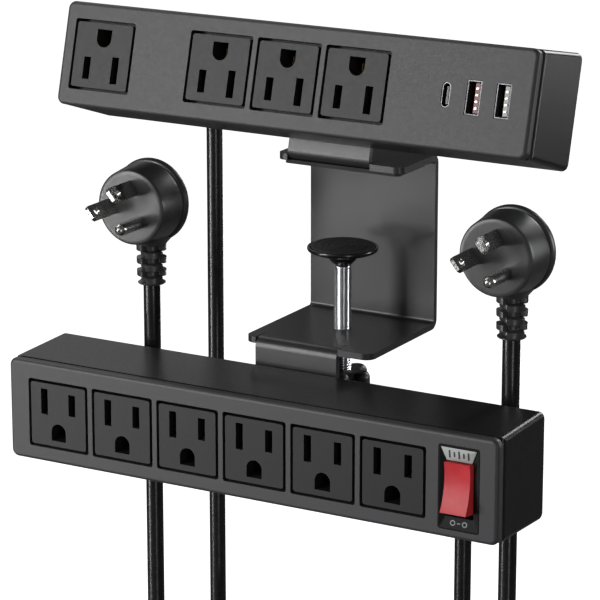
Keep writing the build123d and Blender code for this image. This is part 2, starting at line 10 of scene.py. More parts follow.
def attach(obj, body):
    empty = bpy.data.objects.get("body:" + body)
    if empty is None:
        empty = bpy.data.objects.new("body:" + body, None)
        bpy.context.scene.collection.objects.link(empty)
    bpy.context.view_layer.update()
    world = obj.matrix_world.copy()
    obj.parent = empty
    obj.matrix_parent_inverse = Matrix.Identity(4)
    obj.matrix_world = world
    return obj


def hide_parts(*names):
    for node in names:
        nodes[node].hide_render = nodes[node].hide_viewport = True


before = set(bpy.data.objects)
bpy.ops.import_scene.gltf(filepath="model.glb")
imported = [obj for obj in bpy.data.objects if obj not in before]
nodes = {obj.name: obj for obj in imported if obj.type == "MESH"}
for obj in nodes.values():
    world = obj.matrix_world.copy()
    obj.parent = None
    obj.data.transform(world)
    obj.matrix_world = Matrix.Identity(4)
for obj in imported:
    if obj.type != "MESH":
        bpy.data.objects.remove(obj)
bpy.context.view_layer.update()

MM = 0.001
LEAN = math.radians(15)  # the upper bar leans back
CORD_DIAMETER = 6.8 * MM
COIL_STEPS = 16  # control points in each turn of a coil


def mm(x, y, z):
    return Vector((x, y, z)) * MM


# ---------------------------------------------------------------- places on the bars
UPPER_ORIGIN = mm(-4.5, -34.46, 41.22)
LOWER_ORIGIN = mm(-4.5, -67.5, -94.0)


def bar_frame(origin, lean):
    """Axes on a bar's front: X to the right, Y up the panel, Z out towards the user."""
    right = Vector((1, 0, 0))
    out = Vector((0, -math.cos(lean), math.sin(lean)))
    placed = Matrix((right, out.cross(right), out)).transposed().to_4x4()
    return Matrix.Translation(origin) @ placed


upper_bar = bar_frame(UPPER_ORIGIN, LEAN)
lower_bar = bar_frame(LOWER_ORIGIN, 0.0)


# ---------------------------------------------------------------- camera
def add_camera():
    camera = bpy.data.objects.new("camera", bpy.data.cameras.new("camera"))
    bpy.context.scene.collection.objects.link(camera)
    camera.data.lens = 186.28
    camera.data.sensor_width = 36
    camera.data.clip_end = 50
    camera.location = (0.56266, -1.01157, 0.26646)
    looking_at = Vector((0.01983, -0.0675, -0.0332))
    camera.rotation_euler = (looking_at - camera.location).to_track_quat("-Z", "Y").to_euler()
    bpy.context.scene.camera = camera


# ---------------------------------------------------------------- materials
class Nodes:
    """A short way to write a material's node tree."""

    def __init__(self, name):
        self.material = bpy.data.materials.new(name)
        self.material.use_nodes = True
        self.tree = self.material.node_tree
        self.shader = self.tree.nodes["Principled BSDF"]
        self.place = self.add("ShaderNodeTexCoord").outputs["Object"]

    def add(self, kind, inputs=(), **settings):
        node = self.tree.nodes.new(kind)
        for key, value in settings.items():
            setattr(node, key, value)
        for key, value in dict(inputs).items():
            if isinstance(value, bpy.types.NodeSocket):
                self.tree.links.new(value, node.inputs[key])
            else:
                node.inputs[key].default_value = value
        return node

    def stretched(self, scale):
        """The place in the object, stretched along the axes."""
        return self.add("ShaderNodeMapping", {"Vector": self.place, "Scale": scale}).outputs["Vector"]

    def noise(self, size, detail=3.0, place=None, rough=0.55):
        """Noise whose blobs are about size metres across, from 0 to 1."""
        inputs = {"Vector": place or self.place, "Scale": 1 / size, "Detail": detail, "Roughness": rough}
        return self.add("ShaderNodeTexNoise", inputs).outputs["Fac"]

    def ranged(self, value, low, high, start=0.3, end=0.7):
        """value from start to end becomes low to high."""
        inputs = {"Value": value, "From Min": start, "From Max": end, "To Min": low, "To Max": high}
        return self.add("ShaderNodeMapRange", inputs).outputs["Result"]

    def mixed(self, amount, first, second):
        node = self.add("ShaderNodeMix", data_type="RGBA")
        for key, value in (("Factor", amount), ("A", first), ("B", second)):
            socket = node.inputs[key]
            if isinstance(value, bpy.types.NodeSocket):
                self.tree.links.new(value, socket)
            else:
                socket.default_value = value if isinstance(value, float) else (*value, 1)
        return node.outputs["Result"]

    def bumped(self, height, distance, strength=1.0, normal=None):
        inputs = {"Height": height, "Distance": distance, "Strength": strength}
        if normal:
            inputs["Normal"] = normal
        return self.add("ShaderNodeBump", inputs).outputs["Normal"]

    def finish(self, colour, roughness, normal, **constants):
        """Links colour, roughness and normal, and sets constants on the shader's own sockets."""
        for key, value in (("Base Color", colour), ("Roughness", roughness), ("Normal", normal)):
            self.tree.links.new(value, self.shader.inputs[key])
        for key, value in constants.items():
            self.shader.inputs[key.replace("_", " ")].default_value = value
        return self.material


def shade(level, tint=(1.0, 1.0, 1.0)):
    return tuple(level * part for part in tint)


def plastic(name, level, roughness, grain, depth, tint=(1, 1, 1.04), blotch=0.005, specular=0.5):
    """Moulded plastic: a fine spark-eroded grain, faint cloudiness and a few light rubs."""
    made = Nodes(name)
    cloud = made.noise(blotch, 6, None, 0.75)
    colour = made.mixed(made.ranged(cloud, 0.0, 1.0), shade(level * 0.94, tint), shade(level * 1.06, tint))
    rubs = made.noise(0.004, 6, made.stretched((0.12, 1, 1)), 0.7)
    colour = made.mixed(made.ranged(rubs, 0.0, 0.25, 0.64, 0.8), colour, shade(level * 1.6, tint))
    fine = made.noise(grain, 2)
    rough = made.ranged(made.noise(0.0015, 4), roughness - 0.03, roughness + 0.03)
    coarse = made.bumped(cloud, 0.00003, 0.2)
    return made.finish(colour, rough, made.bumped(fine, depth, 0.8, coarse), Specular_IOR_Level=specular)


def powder_coat(name, level, roughness):
    """Black powder coat on sheet steel: orange peel, with a faint cloudy tone, brighter and darker in
    patches.
    """
    made = Nodes(name)
    peel = made.noise(0.0011, 2)
    cloud = made.noise(0.02, 3)
    colour = made.mixed(made.ranged(cloud, 0.0, 1.0), shade(level * 0.92), shade(level * 1.08, (1, 1, 1.05)))
    rough = made.ranged(made.noise(0.0015, 4), roughness - 0.03, roughness + 0.03)
    return made.finish(colour, rough, made.bumped(peel, 0.00004, 0.6), Specular_IOR_Level=0.5)


def metal(name, colour, roughness, grain=(1, 1, 1), worn=0.25):
    """Plated metal with drawing marks along the axis that grain stretches."""
    made = Nodes(name)
    lines = made.noise(0.0009, 4, made.stretched(grain), 0.6)
    dull = tuple(part * (1 - worn) for part in colour)
    stain = made.noise(0.006, 5)
    tone = made.mixed(made.ranged(stain, 0.0, 1.0, 0.45, 0.75), colour, dull)
    rough = made.ranged(lines, roughness * 0.7, roughness * 1.5)
    return made.finish(tone, rough, made.bumped(lines, 0.00002, 0.35), Metallic=1.0)


def rubber(name, level, roughness, specular=0.5):
    """Soft vinyl or rubber: dull, slightly dusty, with a fine pitted skin."""
    tint = (1, 1, 1.03)
    made = Nodes(name)
    dust = made.noise(0.009, 6, None, 0.65)
    colour = made.mixed(made.ranged(dust, 0.0, 1.0, 0.4, 0.75), shade(level, tint), shade(level * 1.35, tint))
    rough = made.ranged(made.noise(0.005, 4), roughness - 0.05, roughness + 0.07)
    pits = made.bumped(made.noise(0.0006, 3), 0.00003, 0.6)
    return made.finish(colour, rough, pits, Specular_IOR_Level=specular)


def cord_jacket(name):
    """Extruded cord jacket: satin, with faint ripples where the cores press through."""
    made = Nodes(name)
    ripple = made.noise(0.012, 2, made.stretched((1.6, 1.6, 0.35)))
    dust = made.noise(0.004, 6)
    colour = made.mixed(made.ranged(dust, 0.0, 1.0, 0.4, 0.8), shade(0.007), shade(0.012, (1, 1, 1.05)))
    rough = made.ranged(made.noise(0.002, 4), 0.24, 0.28)
    pits = made.bumped(made.noise(0.0005, 2), 0.000005, 0.3)
    normal = made.bumped(ripple, 0.0002, 0.3, pits)
    return made.finish(colour, rough, normal, Specular_IOR_Level=0.55)


def woven(name, level):
    """Woven hook-and-loop tape: crossing threads with a fuzzy nap."""
    made = Nodes(name)
    wave = {"Vector": made.place, "Scale": 420.0, "Distortion": 1.2}
    warp = made.add("ShaderNodeTexWave", wave, bands_direction="X")
    weft = made.add("ShaderNodeTexWave", wave, bands_direction="Z")
    inputs = {0: warp.outputs["Fac"], 1: weft.outputs["Fac"]}
    threads = made.add("ShaderNodeMath", inputs, operation="MULTIPLY").outputs[0]
    fuzz = made.noise(0.0004, 4)
    colour = made.mixed(threads, shade(level * 0.6), shade(level * 1.5))
    rough = made.ranged(fuzz, 0.8, 0.98)
    normal = made.bumped(threads, 0.0002, 0.7, made.bumped(fuzz, 0.0001, 0.5))
    return made.finish(colour, rough, normal, Sheen_Weight=0.35)


def red_with_painted_glow(name):
    """Translucent red polycarbonate with a flowing tone; its faint red glow is painted, standing in for light
    shining through the plastic.
    """
    made = Nodes(name)
    flow = made.noise(0.007, 4)
    colour = made.mixed(made.ranged(flow, 0.0, 1.0), (0.34, 0.015, 0.022), (0.43, 0.028, 0.036))
    rough = made.ranged(made.noise(0.004, 4), 0.3, 0.42)
    skin_marks = made.bumped(made.noise(0.0012, 3), 0.00002, 0.5)
    # The emission is a painted glow for light shining through the red plastic, not a lamp.
    constants = {"Specular_IOR_Level": 0.3, "Emission_Strength": 0.09}
    made.shader.inputs["Emission Color"].default_value = (0.9, 0.06, 0.06, 1)
    return made.finish(colour, rough, skin_marks, **constants)


def circuit_green(name):
    """Solder mask over copper tracks."""
    made = Nodes(name)
    cells = made.add("ShaderNodeTexBrick", {"Vector": made.place, "Scale": 180.0, "Mortar Size": 0.08})
    tracks = cells.outputs["Fac"]
    colour = made.mixed(tracks, (0.006, 0.09, 0.03), (0.02, 0.2, 0.07))
    rough = made.ranged(made.noise(0.002, 3), 0.25, 0.4)
    return made.finish(colour, rough, made.bumped(tracks, 0.00003, 0.6), Specular_IOR_Level=0.5)


looks = {
    "housing": plastic("housing_plastic", 0.01, 0.32, 0.0007, 0.00005, specular=0.4),
    "panel": plastic("panel_plastic", 0.026, 0.5, 0.0004, 0.00004, (1, 1.01, 1.1)),
    "tile": plastic("outlet_plastic", 0.012, 0.46, 0.0005, 0.00003, (1, 1.01, 1.1), specular=0.3),
    "bezel": plastic("bezel_plastic", 0.006, 0.5, 0.0006, 0.00002, specular=0.12),
    "knob": plastic("knob_plastic", 0.014, 0.42, 0.0005, 0.00003),
    "label": plastic("label_plastic", 0.34, 0.55, 0.0004, 0.00001, (0.97, 1, 0.98)),
    "mark": plastic("mark_ink", 0.02, 0.6, 0.0004, 0.00001, (0.8, 1, 0.9)),
    "pale_mark": plastic("pale_ink", 0.22, 0.6, 0.0004, 0.00001),
    "powder": powder_coat("powder_coat", 0.02, 0.36),
    "foot_coat": powder_coat("foot_coat", 0.006, 0.24),
    "pad": rubber("pad_rubber", 0.016, 0.7, 0.3),
    "plug": rubber("plug_vinyl", 0.03, 0.33, 0.5),
    "relief": rubber("relief_vinyl", 0.026, 0.45, 0.5),
    "cord": cord_jacket("cord_jacket"),
    "tie": woven("tie_fabric", 0.012),
    "zinc": metal("zinc_plate", (0.8, 0.8, 0.82), 0.2, (1, 1, 6)),
    "nickel": metal("nickel_plate", (0.55, 0.545, 0.53), 0.22, (1, 6, 1)),
    "brass": metal("contact_brass", (0.5, 0.35, 0.16), 0.34, (6, 1, 1)),
    "tin": metal("tinned_brass", (0.7, 0.66, 0.56), 0.3, (1, 1, 6)),
    "gold": metal("contact_gold", (0.85, 0.62, 0.28), 0.2),
    "contact_end": metal("contact_end", (0.7, 0.66, 0.6), 0.35),
    "steel": metal("usb_steel", (0.16, 0.16, 0.165), 0.42, (1, 1, 4)),
    "usb_red": plastic("usb_red", 0.13, 0.35, 0.0005, 0.00001, (1, 0.07, 0.06), 0.004),
    "usb_white": plastic("usb_white", 0.3, 0.35, 0.0005, 0.00001, (1, 1, 0.97), 0.004),
    "usb_black": plastic("usb_black", 0.02, 0.3, 0.0005, 0.00001, (1, 1, 1), 0.004),
    "rocker": red_with_painted_glow("rocker_red"),
    "board": circuit_green("circuit_board"),
}

LOOK_OF_NODE_ENDING = {
    "_housing": "housing",
    "_end_cap_left": "housing",
    "_end_cap_right": "housing",
    "_front_panel": "panel",
    "_bus": "brass",
    "switch_bezel": "bezel",
    "switch_rocker": "rocker",
    "rocker_pivot_pin": "zinc",
    "switch_terminals": "tin",
    "usb_c_socket": "steel",
    "usb_a_socket_1": "steel",
    "usb_a_socket_2": "steel",
    "usb_c_tongue": "usb_black",
    "usb_a_tongue_1": "usb_red",
    "usb_a_tongue_2": "usb_white",
    "usb_board": "board",
    "clamp_bracket": "powder",
    "jaw_pad": "pad",
    "clinch_nut": "powder",
    "bracket_screws": "zinc",
    "screw_knob": "knob",
}


def dress_cad_nodes():
    """Gives every CAD node its material."""
    for name, node in nodes.items():
        ending = next((end for end in LOOK_OF_NODE_ENDING if name.endswith(end)), None)
        look = "tile" if "_outlet_" in name else LOOK_OF_NODE_ENDING.get(ending, "housing")
        node.data.materials.clear()
        node.data.materials.append(looks[look])


# ---------------------------------------------------------------- mesh helpers
def finish_mesh(name, mesh, look, body, sharp_angle=38):
    mesh.materials.append(looks[look])
    mesh.shade_smooth()
    mesh.set_sharp_from_angle(angle=math.radians(sharp_angle))
    made = bpy.data.objects.new(name, mesh)
    bpy.context.scene.collection.objects.link(made)
    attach(made, body)
    return made


def skin(name, rings, look, body, loop=False, sharp_angle=38):
    """A closed surface through rings of points. Each ring has the same number of points."""
    count = len(rings[0])
    faces = []
    for row in range(len(rings) if loop else len(rings) - 1):
        here, there = row * count, (row + 1) % len(rings) * count
        for column in range(count):
            beside = (column + 1) % count
            faces.append((here + column, here + beside, there + beside, there + column))
    if not loop:
        faces.append(tuple(reversed(range(count))))
        faces.append(tuple(range((len(rings) - 1) * count, len(rings) * count)))
    mesh = bpy.data.meshes.new(name)
    mesh.from_pydata([point for ring in rings for point in ring], [], faces)
    outward(mesh)
    return finish_mesh(name, mesh, look, body, sharp_angle)


def outward(mesh):
    """Turns all faces of a closed mesh outwards."""
    work = bmesh.new()
    work.from_mesh(mesh)
    bmesh.ops.recalc_face_normals(work, faces=work.faces)
    work.to_mesh(mesh)
    work.free()


def rounded(points, radius, steps=5):
    """The points of an outline, with each inner corner rounded off by up to radius."""
    smooth = [Vector(points[0])]
    for before, corner, after in zip(points, points[1:], points[2:]):
        before, corner, after = Vector(before), Vector(corner), Vector(after)
        reach_in = min(radius, (before - corner).length * 0.45)
        reach_out = min(radius, (after - corner).length * 0.45)
        start = corner + (before - corner).normalized() * reach_in
        end = corner + (after - corner).normalized() * reach_out
        for step in range(steps + 1):
            t = step / steps
            smooth.append(start * (1 - t) ** 2 + corner * 2 * t * (1 - t) + end * t**2)
    return smooth + [Vector(points[-1])]


def lathe(name, profile, centre, axis, look, body, segments=96):
    """A turned piece. The profile gives (distance along the axis, radius) in millimetres."""
    turn = axis.to_track_quat("Z", "Y").to_matrix()
    rings = []
    for along, radius in profile:
        ring = []
        for segment in range(segments):
            angle = math.tau * segment / segments
            place = Vector((radius * math.cos(angle), radius * math.sin(angle), along)) * MM
            ring.append(centre + turn @ place)
        rings.append(ring)
    return skin(name, rings, look, body)


def smoothstep(value):
    value = min(max(value, 0.0), 1.0)
    return value * value * (3 - 2 * value)


# ---------------------------------------------------------------- cords
UPPER_DROP = [
    mm(-90.2, 18.8, 31.1),
    mm(-90.2, 34.3, 26.9),
    mm(-90.2, 46.7, 16.6),
    mm(-90.2, 53.5, 1.9),
    mm(-90.2, 53.5, -249.0),
]
UPPER_RISE = [mm(-72.9, -22.5, -249.0), mm(-72.9, -22.5, -49.8)]
LOWER_DROP = [
    mm(36.6, -13.5, -94.0),
    mm(36.6, 6.5, -94.0),
    mm(36.6, 23.8, -104.0),
    mm(36.6, 33.8, -121.3),
    mm(36.6, 33.8, -222.0),
]
LOWER_RISE = [mm(83.7, -22.5, -222.0), mm(83.7, -22.5, -49.5)]

# Each row: the turns from the coil's start when the cord moves over, its lane, and 1 in the inner layer.
SHIFT = 0.2
UPPER_LANES = [
    (-SHIFT, 0, 0),
    (0.0, 1, 0),
    (1.0, 2, 0),
    (2.0, 3, 0),
    (2.8, 3, 1),
    (3.6, 2, 1),
    (4.6, 1, 1),
    (5.3, 0, 1),
]
LOWER_LANES = [
    (-SHIFT, 0, 0),
    (0.2, 1, 0),
    (1.2, 2, 0),
    (2.2, 3, 0),
    (3.0, 3, 1),
    (3.8, 2, 1),
    (4.8, 1, 1),
    (5.8, 0, 1),
]


def lane_at(lanes, turns):
    """The lane across the coil and the layer, from 0 outside to 1 inside, after so many turns."""
    lane, layer = lanes[0][1:]
    for start, next_lane, next_layer in lanes[1:]:
        moved = smoothstep((turns - start) / SHIFT)
        lane += (next_lane - lane) * moved
        layer += (next_layer - layer) * moved
    return lane, layer


class Coil:
    """A neat coil that hangs between the feet of a cord's two straight legs."""

    def __init__(self, drop, rise, outer, inner, side, turns, lanes):
        self.across = (drop - rise).normalized()
        self.normal = Vector((self.across.y, -self.across.x, 0)) * side
        self.outer, self.inner, self.turns, self.lanes = outer * MM, inner * MM, turns, lanes
        self.leg_centre = rise + self.across * self.inner

    def points(self):
        """Its turns, by a loop. The corners of a polygon around a circle touch it between them."""
        reach = 1 / math.cos(math.pi / COIL_STEPS)
        made = []
        for step in range(int(self.turns * COIL_STEPS)):
            turned = (step + 0.5) / COIL_STEPS
            lane, layer = lane_at(self.lanes, turned)
            radius = (self.outer + (self.inner - self.outer) * layer) * reach
            angle = math.tau * turned
            around = self.across * math.cos(angle) - Vector((0, 0, 1)) * math.sin(angle)
            made.append(self.leg_centre + around * radius + self.normal * lane * CORD_DIAMETER)
        return made


upper_coil = Coil(UPPER_DROP[-1], UPPER_RISE[0], 42.4, 35.6, 1, 5.5, UPPER_LANES)
lower_coil = Coil(LOWER_DROP[-1], LOWER_RISE[0], 40.0, 33.2, -1, 6.5, LOWER_LANES)


def add_cord(name, points):
    curve = bpy.data.curves.new(name, "CURVE")
    curve.dimensions = "3D"
    curve.bevel_depth = CORD_DIAMETER / 2
    curve.bevel_resolution = 7
    curve.resolution_u = 10
    curve.use_fill_caps = True
    spline = curve.splines.new("NURBS")
    spline.points.add(len(points) - 1)
    for place, point in zip(spline.points, points):
        place.co = (*point, 1)
    spline.order_u = 3
    spline.use_endpoint_u = True
    curve.materials.append(looks["cord"])
    made = bpy.data.objects.new(name, curve)
    bpy.context.scene.collection.objects.link(made)
    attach(made, "frame")
    return made


def whole_route(drop, coil, rise):
    """The drop, the coil and the rise, with a point beside each corner that ends a long straight leg."""
    short_run = (drop[-2] - drop[-3]).length
    below_bend = drop[-2] - Vector((0, 0, short_run))
    beside = 2 * coil.outer * math.tan(math.pi / COIL_STEPS)
    above_coil = Vector((0, 0, beside / 2))
    return [*drop[:-1], below_bend, drop[-1] + above_coil, *coil.points(), rise[0] + above_coil, rise[1]]


TIE_WIDTH = 12.0
TIE_THICKNESS = 1.0
TIE_SLACK = 0.4 * MM  # between the tape and the cords
TIE_START = math.radians(205)


def add_tie(name, coil):
    """A hook-and-loop tape wrapped a little more than once around the foot of a coil."""
    passes = [lane_at(coil.lanes, turn + 0.25)[0] for turn in range(int(coil.turns + 0.75))]
    lane = (min(passes) + max(passes)) / 2
    middle = coil.leg_centre + coil.normal * lane * CORD_DIAMETER
    middle -= Vector((0, 0, (coil.outer + coil.inner) / 2))
    wide = (max(passes) - min(passes) + 1) / 2 * CORD_DIAMETER + TIE_SLACK
    tall = CORD_DIAMETER + TIE_SLACK
    steps, wraps, squareness = 90, 1.18, 0.42
    rings = []
    for step in range(steps + 1):
        angle = math.tau * wraps * step / steps + TIE_START
        cosine, sine = math.cos(angle), math.sin(angle)
        sideways = math.copysign(abs(cosine) ** squareness, cosine)
        upwards = math.copysign(abs(sine) ** squareness, sine)
        lift = 1.1 * TIE_THICKNESS * MM * smoothstep((step / steps * wraps - 0.9) / 0.12)
        ring = []
        for width, depth in ((-0.5, 0), (-0.46, 1), (0.46, 1), (0.5, 0)):
            out = lift + depth * TIE_THICKNESS * MM
            place = coil.normal * sideways * (wide + out) + Vector((0, 0, upwards * (tall + out)))
            ring.append(middle + place + coil.across * width * TIE_WIDTH * MM)
        rings.append(ring)
    made = skin(name, rings, "tie", "frame")
    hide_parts(name.replace("_tape", ""))
    return made


# ---------------------------------------------------------------- strain reliefs and plugs
def boot(name, start, axis, profile, first_notch, pitch, notches, depth, look="plug"):
    """A tapered strain relief with staggered notches. The profile gives (distance, radius) in mm."""
    square = axis.cross(Vector((1, 0, 0))).normalized()
    sideways = (Vector((1, 0, 0)) + square).normalized()
    other = axis.cross(sideways)
    length = profile[-1][0]
    segments, rows = 72, int(length * 5)
    half_slot = pitch * 0.23
    rings = []
    for row in range(rows + 1):
        along = length * row / rows
        radius = next(
            r0 + (r1 - r0) * (along - a0) / (a1 - a0)
            for (a0, r0), (a1, r1) in zip(profile, profile[1:])
            if along <= a1 + 1e-6
        )
        ring = []
        for segment in range(segments):
            angle = math.tau * segment / segments
            cut = 0.0
            for side, shift in ((math.cos(angle), 0.0), (math.sin(angle), 0.5)):
                for notch in range(notches):
                    distance = abs(along - first_notch - (notch + shift) * pitch)
                    inside = smoothstep((half_slot + 0.25 - distance) / 0.4)
                    cut = max(cut, inside * smoothstep((abs(side) - 0.6) / 0.14))
            reach = (radius - depth * cut) * MM
            around = sideways * math.cos(angle) + other * math.sin(angle)
            ring.append(start + axis * along * MM + around * reach)
        rings.append(ring)
    return skin(name, rings, look, "frame", sharp_angle=50)


PLUG_FACE_Y = -37.5
PLUG_ABOVE_CORD = 33.5  # from the cord's end up to the plug's middle
BOOT_TOP = 10.0  # below the plug's middle
# (distance behind the plug's face, radius)
PLUG_PROFILE = [
    (0.0, 0.01),
    (0.0, 13.6),
    (0.35, 14.75),
    (12.4, 15.95),
    (12.7, 15.1),
    (13.7, 15.1),
    (14.0, 16.4),
    (16.4, 16.75),
    (19.2, 14.2),
    (20.8, 9.5),
    (21.3, 4.0),
    (21.4, 0.01),
]
# (distance from the wide end, radius)
BOOT_PROFILE = [(0, 9.5), (3.6, 9.0), (5.6, 7.2), (7.0, 6.0), (22.6, 5.75), (23.2, 5.3), (23.5, 4.6)]
BOOT_NOTCHES = {"first_notch": 8.6, "pitch": 5.1, "notches": 3, "depth": 2.5}
RELIEF_PROFILE = [(0, 6.45), (2.6, 6.4), (16.4, 4.7), (16.8, 4.4), (17.0, 4.0)]
RELIEF_NOTCHES = {"first_notch": 5.2, "pitch": 4.0, "notches": 3, "depth": 1.6}

PIN_LENGTH = 15.9
PIN_SUNK = 1.0  # into the plug's face
BLADE_SPACING = 12.7
BLADES_ABOVE_CENTRE = 5.05
GROUND_OFFSET = 11.9  # from the blades' line to the ground pin
GROUND_RADIUS = 2.4
PLUG_TURN = math.radians(40)


def add_blade(name, placed):
    """A flat blade with a hole near its tip and clipped corners. It grows along Z of placed."""
    half_width, half_thickness, hole, hole_at, clip = 3.175, 0.75, 1.6, 11.7, 1.1
    tip = PIN_LENGTH - hole_at
    foot = -PIN_SUNK - hole_at
    corners = [
        (half_width, foot),
        (half_width, tip - clip),
        (half_width - clip, tip),
        (clip - half_width, tip),
        (-half_width, tip - clip),
        (-half_width, foot),
    ]
    outline = []
    for start, end in zip(corners, corners[1:] + corners[:1]):
        outline += [
            (start[0] + (end[0] - start[0]) * part / 8, start[1] + (end[1] - start[1]) * part / 8)
            for part in range(8)
        ]
    rings = []
    for y, z in outline:
        far = math.hypot(y, z)
        inner = (y * hole / far, z * hole / far)
        rings.append(
            [
                placed @ (Vector((x, side[0], hole_at + side[1])) * MM)
                for side, x in (
                    (inner, -half_thickness),
                    ((y, z), -half_thickness),
                    ((y, z), half_thickness),
                    (inner, half_thickness),
                )
            ]
        )
    return skin(name, rings, "nickel", "frame", loop=True)


def add_pins(prefix, centre):
    """Two flat blades and a round-tipped ground pin, turned about the plug's middle."""
    turned = Matrix.Translation(centre) @ Matrix.Rotation(-PLUG_TURN, 4, "Y")
    turned = turned @ Matrix.Rotation(math.pi / 2, 4, "X")
    made = []
    for label, x in (("left", -BLADE_SPACING / 2), ("right", BLADE_SPACING / 2)):
        placed = turned @ Matrix.Translation(Vector((x, BLADES_ABOVE_CENTRE, 0)) * MM)
        made.append(add_blade(f"{prefix}_plug_{label}_blade", placed))
    profile = [
        (-PIN_SUNK, 0.01),
        (-PIN_SUNK, GROUND_RADIUS),
        (13.6, GROUND_RADIUS),
        (15.2, 1.5),
        (PIN_LENGTH, 0.01),
    ]
    foot = turned @ (Vector((0, BLADES_ABOVE_CENTRE - GROUND_OFFSET, 0)) * MM)
    name = f"{prefix}_plug_ground_pin"
    outline = rounded(profile, 1.0)
    made.append(lathe(name, outline, foot, Vector((0, -1, 0)), "nickel", "frame"))
    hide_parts(f"{prefix}_plug_pins")
    return made


def add_plug(prefix, rise_top):
    """A round flat plug with a grooved rim, and its cord leaving downwards through a notched boot."""
    centre = Vector((rise_top.x, PLUG_FACE_Y * MM, rise_top.z + PLUG_ABOVE_CORD * MM))
    outline = rounded(PLUG_PROFILE, 0.9)
    body = lathe(f"{prefix}_plug_shell", outline, centre, Vector((0, 1, 0)), "plug", "frame")
    boot_top = Vector((rise_top.x, rise_top.y, centre.z - BOOT_TOP * MM))
    sleeve = boot(f"{prefix}_plug_boot", boot_top, Vector((0, 0, -1)), BOOT_PROFILE, **BOOT_NOTCHES)
    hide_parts(f"{prefix}_plug_body")
    return [body, sleeve, *add_pins(prefix, centre)]


def add_relief(prefix, tip, axis):
    """The strain relief where a cord leaves its bar. Its narrow end is at tip."""
    start = tip - axis * RELIEF_PROFILE[-1][0] * MM
    relief = boot(f"{prefix}_cord_gland", start, axis, RELIEF_PROFILE, **RELIEF_NOTCHES, look="relief")
    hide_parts(f"{prefix}_strain_relief")
    return relief


def add_side(prefix, drop, coil, rise):
    """One bar's cord with its relief, its coil's tie and its plug."""
    axis = (drop[1] - drop[0]).normalized()
    relief = add_relief(prefix, drop[0], axis)
    tie = add_tie(f"{prefix}_coil_tie_tape", coil)
    plug = add_plug(prefix, rise[-1])
    lead = add_cord(f"{prefix}_lead", whole_route(drop, coil, rise))
    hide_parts(f"{prefix}_cord_drop", f"{prefix}_coil", f"{prefix}_cord_rise")


# ---------------------------------------------------------------- clamp screw and foot
SCREW_TOP = -37.4
SCREW_END = -91.0
SCREW_RADIUS = 3.5
THREAD_PITCH = 1.0
THREAD_DEPTH = 0.55


def add_clamp_screw():
    """The clamp screw with its rolled thread, chamfered at both ends."""
    rows_per_turn, segments = 8, 40
    rows = int((SCREW_TOP - SCREW_END) / THREAD_PITCH * rows_per_turn)
    rings = []
    for row in range(rows + 1):
        fallen = row * THREAD_PITCH / rows_per_turn
        from_end = min(fallen, rows * THREAD_PITCH / rows_per_turn - fallen)
        limit = SCREW_RADIUS - max(0.0, 0.8 - from_end)
        ring = []
        for segment in range(segments):
            angle = math.tau * segment / segments
            phase = (fallen / THREAD_PITCH + segment / segments) % 1.0
            ridge = min(1.0, max(0.0, 1.25 - 2.5 * abs(phase - 0.5) - 0.12))
            radius = min(limit, SCREW_RADIUS - THREAD_DEPTH * (1 - ridge))
            ring.append(mm(radius * math.cos(angle), radius * math.sin(angle), SCREW_TOP - fallen))
        rings.append(ring)
    rod = skin("threaded_rod", rings, "zinc", "screw", sharp_angle=70)
    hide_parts("clamp_screw")


# (height, radius)
FOOT_PROFILE = [
    (-31.1, 0.01),
    (-31.1, 12.6),
    (-30.5, 12.75),
    (-30.4, 13.75),
    (-31.7, 13.8),
    (-32.5, 12.8),
    (-32.7, 6.4),
    (-34.0, 6.2),
    (-35.6, 5.3),
    (-36.9, 4.1),
    (-37.25, 3.7),
    (-37.25, 2.6),
    (-33.4, 2.55),
    (-33.2, 0.01),
]
PAD_TOP = -29.92
GROOVE_FLOOR = -30.1
GROOVE_RADII = (10.0, 7.5, 5.0, 2.5)


def add_foot():
    """The pressed foot with its rolled rim, the bowl that swivels on the screw, and the ribbed pad."""
    upwards = Vector((0, 0, 1))
    shell = rounded(FOOT_PROFILE, 0.7)
    disc = lathe("foot_shell", shell, Vector(), upwards, "foot_coat", "foot")
    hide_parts("pressure_disc")
    ribs = [(-31.0, 0.01), (-31.0, 12.4), (-30.2, 12.5), (-29.95, 12.2)]
    for groove in GROOVE_RADII:
        ribs += [(PAD_TOP, groove + 0.3), (GROOVE_FLOOR, groove + 0.15)]
        ribs += [(GROOVE_FLOOR, groove - 0.15), (PAD_TOP, groove - 0.3)]
    ribs += [(PAD_TOP, 0.01)]
    pad = lathe("foot_pad", rounded(ribs, 0.15, 2), Vector(), upwards, "pad", "foot")
    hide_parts("pressure_pad")


# ---------------------------------------------------------------- switch label and USB contacts
def block(name, placed, size, look, body, taper=1.0, edge=0.12):
    """A small plate with softened edges. It lies on the XY plane of placed, and taper narrows its foot."""
    width, height, thickness = size
    levels = ((0.0, edge * 0.6), (thickness * 0.4, 0.0), (thickness * 0.8, 0.0), (thickness, edge))
    rings = []
    for level, inset in levels:
        top, foot = width / 2 - inset, width / 2 * taper - inset
        tall = height / 2 - inset
        corners = [(-top, tall), (top, tall), (foot, -tall), (-foot, -tall), (-top, tall)]
        outline = rounded(corners, edge * 3, 3)[:-1]
        rings.append([placed @ (Vector((x, y, level)) * MM) for x, y in outline])
    return skin(name, rings, look, body, sharp_angle=60)


def ring_mark(name, placed, radius, width, thickness, look, body):
    """A flat ring, as in an off sign."""
    rings = []
    for step in range(40):
        angle = math.tau * step / 40
        out = Vector((math.cos(angle), math.sin(angle), 0))
        rings.append(
            [
                placed @ ((out * (radius + side * width / 2) + Vector((0, 0, level))) * MM)
                for side, level in ((-1, 0), (1, 0), (1, thickness), (-1, thickness))
            ]
        )
    return skin(name, rings, look, body, loop=True)


